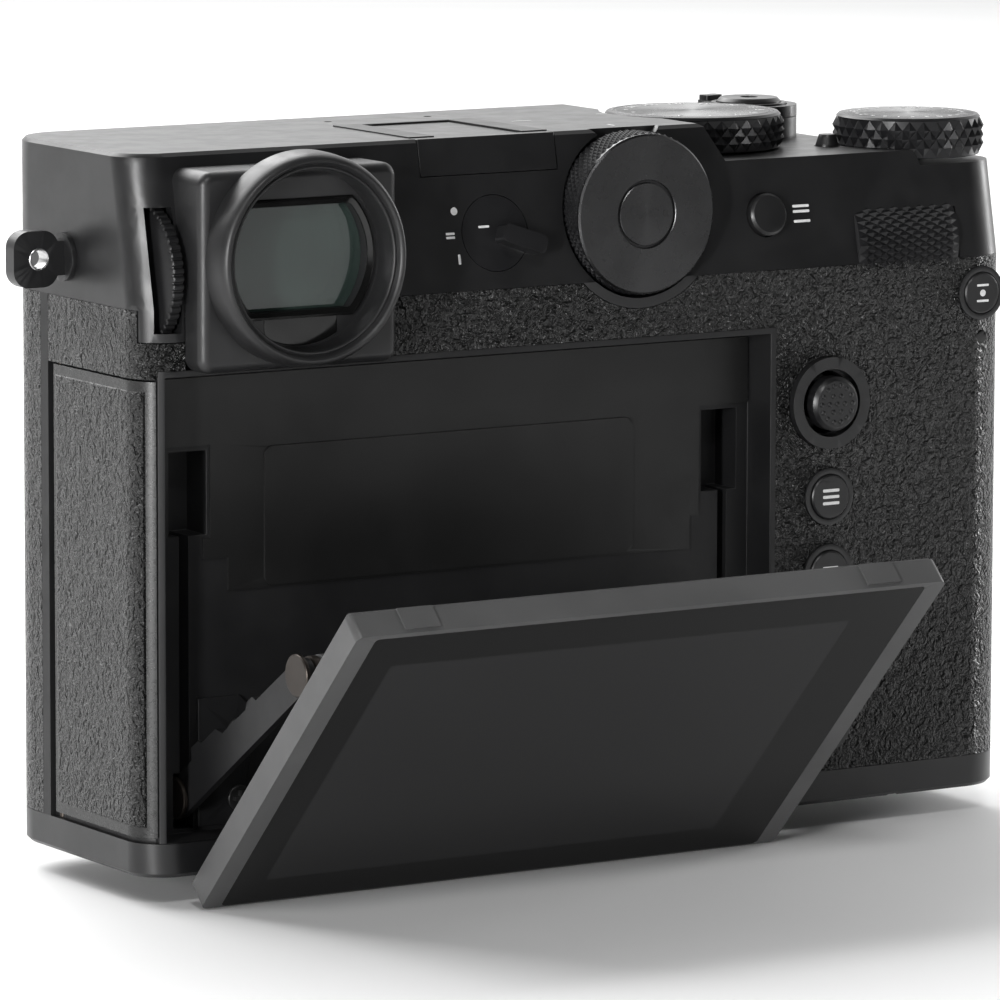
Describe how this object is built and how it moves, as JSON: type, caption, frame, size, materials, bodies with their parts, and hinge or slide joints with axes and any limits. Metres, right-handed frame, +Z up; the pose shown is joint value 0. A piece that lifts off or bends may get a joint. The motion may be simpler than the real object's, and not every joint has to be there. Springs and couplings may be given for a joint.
{
  "type": "rangefinder camera",
  "caption": "Compact rangefinder-style digital camera with a fixed lens, corner eyepiece, top dials, leather covering and a two-way tilting screen, drawn with the screen out.",
  "frame": {"origin": "centre of the tripod socket's mouth, on the flat base directly under the optical axis", "axes": "+Z up; +Y out of the back, towards the user's eye; the lens looks along -Y; +X towards the eyepiece end of the body"},
  "size_m": [0.1494, 0.1101, 0.0953],
  "materials": {
    "black_metal": "fine matte black coating",
    "black_casting": "matte black paint",
    "leather": "coarse pebbled grain, semi-gloss",
    "black_plastic": "satin",
    "black_rubber": "matte",
    "steel": "satin",
    "dark_steel": "satin black oxide",
    "bronze_steel": "satin, warm tint",
    "coated_glass": "polished with a greenish coating",
    "cover_glass": "polished",
    "display": "gloss",
    "tinted_window": "gloss",
    "circuit_board": "satin"
  },
  "bodies": {
    "camera": {"top_cover": "black_metal", "base_cover": "black_metal", "main_frame": "black_casting", "front_leather": "leather", "rear_leather": "leather", "screen_well": "black_casting", "well_plate": "black_plastic", "hinge_brackets": "dark_steel", "cross_head_screws": "dark_steel", "hinge_pins": "bronze_steel", "lens_barrel": "black_metal", "front_element": "coated_glass", "front_collar": "black_metal", "leaf_shutter": "dark_steel", "image_sensor": "display", "main_board": "circuit_board", "battery": "black_plastic", "memory_card": "black_plastic", "battery_and_card_holder": "black_plastic", "connector_block": "black_plastic", "eyepiece_block": "black_rubber", "eyecup_ring": "black_rubber", "eyepiece_glass": "coated_glass", "eye_sensor": "tinted_window", "finder_module": "black_plastic", "button_rings": "black_metal", "lamp_windows": "tinted_window", "hot_shoe": "dark_steel", "strap_lugs": "steel", "tripod_socket": "steel"},
    "arms": {"screen_arms": "dark_steel"},
    "tilt_pivots": {"tilt_plates": "bronze_steel"},
    "screen": {"screen_frame": "black_metal", "screen_glass": "cover_glass", "display_panel": "display"},
    "ratio_dial": {"ratio_dial": "black_metal"},
    "focus_selector": {"focus_selector": "black_metal"},
    "focus_lock_button": {"focus_lock_button": "black_metal"},
    "rear_command_dial": {"rear_command_dial": "black_metal"},
    "front_command_dial": {"front_command_dial": "black_metal"},
    "menu_button": {"menu_button": "black_metal"},
    "display_button": {"display_button": "black_metal"},
    "playback_button": {"playback_button": "black_metal"},
    "drive_button": {"drive_button": "black_metal"},
    "quick_menu_button": {"quick_menu_button": "black_metal"},
    "joystick_gimbal": {"joystick_gimbal": "black_plastic"},
    "joystick_cap": {"joystick_cap": "black_rubber"},
    "shutter_speed_dial": {"shutter_speed_dial": "black_metal"},
    "exposure_dial": {"exposure_dial": "black_metal"},
    "shutter_release": {"shutter_release": "black_metal"},
    "power_switch": {"power_switch": "black_metal"},
    "function_button": {"function_button": "black_metal"},
    "dioptre_wheel": {"dioptre_wheel": "black_metal"},
    "port_door": {"port_door": "leather"},
    "battery_door": {"battery_door": "black_metal"},
    "aperture_ring": {"aperture_ring": "black_metal"},
    "focus_ring": {"focus_ring": "black_metal"},
    "focus_group": {"focus_group": "coated_glass"},
    "crop_lever": {"crop_lever": "black_metal"},
    "shoe_cover": {"shoe_cover": "black_plastic"}
  },
  "joints": [
    {"name": "arm_swing", "type": "hinge", "parent": "camera", "child": "arms", "pos_m": [0.003, 0.01255, 0.0089], "axis": [-1, 0, 0], "range_deg": [-56.72, 0]},
    {"name": "arm_tilt_follow", "type": "hinge", "parent": "arms", "child": "tilt_pivots", "pos_m": [0.003, 0.04335, 0.02912], "axis": [-1, 0, 0], "range_deg": [0, 12.62]},
    {"name": "screen_tilt", "type": "hinge", "parent": "tilt_pivots", "child": "screen", "pos_m": [0.003, 0.04335, 0.02912], "axis": [1, 0, 0], "range_deg": [0, 134.1]},
    {"name": "ratio_dial_turn", "type": "hinge", "parent": "camera", "child": "ratio_dial", "pos_m": [-0.02135, 0.017, 0.0804], "axis": [0, 1, 0], "continuous": true},
    {"name": "focus_selector_turn", "type": "hinge", "parent": "camera", "child": "focus_selector", "pos_m": [0.0001, 0.01733, 0.0789], "axis": [0, 0.9803, 0.1977], "range_deg": [0, 55.5]},
    {"name": "focus_lock_press", "type": "slide", "parent": "camera", "child": "focus_lock_button", "axis": [0, -0.9803, -0.1977], "range_m": [0, 0.0004], "stiffness_N_per_m": 1500, "springref_m": -0.0004},
    {"name": "rear_command_turn", "type": "hinge", "parent": "camera", "child": "rear_command_dial", "pos_m": [-0.0636, 0.01031, 0.0753], "axis": [0, 0, 1], "continuous": true},
    {"name": "front_command_turn", "type": "hinge", "parent": "camera", "child": "front_command_dial", "pos_m": [-0.062, -0.01225, 0.0786], "axis": [0, 0, 1], "continuous": true},
    {"name": "menu_press", "type": "slide", "parent": "camera", "child": "menu_button", "axis": [0, -1, 0], "range_m": [0, 0.0004], "stiffness_N_per_m": 1500, "springref_m": -0.0004},
    {"name": "display_press", "type": "slide", "parent": "camera", "child": "display_button", "axis": [0, -1, 0], "range_m": [0, 0.0004], "stiffness_N_per_m": 1500, "springref_m": -0.0004},
    {"name": "playback_press", "type": "slide", "parent": "camera", "child": "playback_button", "axis": [0, -1, 0], "range_m": [0, 0.0004], "stiffness_N_per_m": 1500, "springref_m": -0.0004},
    {"name": "drive_press", "type": "slide", "parent": "camera", "child": "drive_button", "axis": [0, -1, 0], "range_m": [0, 0.0004], "stiffness_N_per_m": 1500, "springref_m": -0.0004},
    {"name": "quick_menu_press", "type": "slide", "parent": "camera", "child": "quick_menu_button", "axis": [0, -1, 0], "range_m": [0, 0.0004], "stiffness_N_per_m": 1500, "springref_m": -0.0004},
    {"name": "joystick_tip_vertical", "type": "hinge", "parent": "camera", "child": "joystick_gimbal", "pos_m": [-0.0508, 0.01425, 0.0538], "axis": [1, 0, 0], "range_deg": [-6, 6], "stiffness_Nm_per_rad": 0.2},
    {"name": "joystick_tip_sideways", "type": "hinge", "parent": "joystick_gimbal", "child": "joystick_cap", "pos_m": [-0.0508, 0.01425, 0.0538], "axis": [0, 0, 1], "range_deg": [-6, 6], "stiffness_Nm_per_rad": 0.2},
    {"name": "shutter_speed_turn", "type": "hinge", "parent": "camera", "child": "shutter_speed_dial", "pos_m": [-0.0427, -0.00185, 0.088], "axis": [0, 0, 1], "continuous": true},
    {"name": "exposure_turn", "type": "hinge", "parent": "camera", "child": "exposure_dial", "pos_m": [-0.0716, 0.0068, 0.088], "axis": [0, 0, 1], "range_deg": [-135, 135]},
    {"name": "shutter_release_press", "type": "slide", "parent": "camera", "child": "shutter_release", "axis": [0, 0, -1], "range_m": [0, 0.001], "stiffness_N_per_m": 1200, "springref_m": -0.0008},
    {"name": "power_switch_turn", "type": "hinge", "parent": "camera", "child": "power_switch", "pos_m": [-0.0586, -0.0122, 0.0898], "axis": [0, 0, 1], "range_deg": [0, 40]},
    {"name": "function_press", "type": "slide", "parent": "camera", "child": "function_button", "axis": [0, 0, -1], "range_m": [0, 0.0004], "stiffness_N_per_m": 1500, "springref_m": -0.0004},
    {"name": "dioptre_turn", "type": "hinge", "parent": "camera", "child": "dioptre_wheel", "pos_m": [0.0482, 0.01114, 0.0759], "axis": [1, 0, 0], "range_deg": [-140, 70]},
    {"name": "port_door_swing", "type": "hinge", "parent": "camera", "child": "port_door", "pos_m": [0.05125, -0.0049, 0.034], "axis": [0, 0, -1], "range_deg": [0, 100]},
    {"name": "battery_door_swing", "type": "hinge", "parent": "camera", "child": "battery_door", "pos_m": [-0.03945, -0.0035, 0.0008], "axis": [0, -1, 0], "range_deg": [0, 95]},
    {"name": "aperture_ring_turn", "type": "hinge", "parent": "camera", "child": "aperture_ring", "pos_m": [0, -0.0255, 0.04], "axis": [0, 1, 0], "range_deg": [-38, 38]},
    {"name": "focus_ring_turn", "type": "hinge", "parent": "camera", "child": "focus_ring", "pos_m": [0, -0.035, 0.04], "axis": [0, 1, 0], "continuous": true},
    {"name": "focus_group_slide", "type": "slide", "parent": "camera", "child": "focus_group", "axis": [0, -1, 0], "range_m": [0, 0.0025]},
    {"name": "crop_lever_tip", "type": "hinge", "parent": "camera", "child": "crop_lever", "pos_m": [-0.052, -0.019, 0.0645], "axis": [0, 1, 0], "range_deg": [-20, 20], "stiffness_Nm_per_rad": 0.03},
    {"name": "shoe_cover_slide", "type": "slide", "parent": "camera", "child": "shoe_cover", "axis": [0, 1, 0], "range_m": [0, 0.02]}
  ],
  "couplings": [
    {"joint": "arm_tilt_follow", "follows": "arm_swing", "ratio": -0.22242}
  ]
}
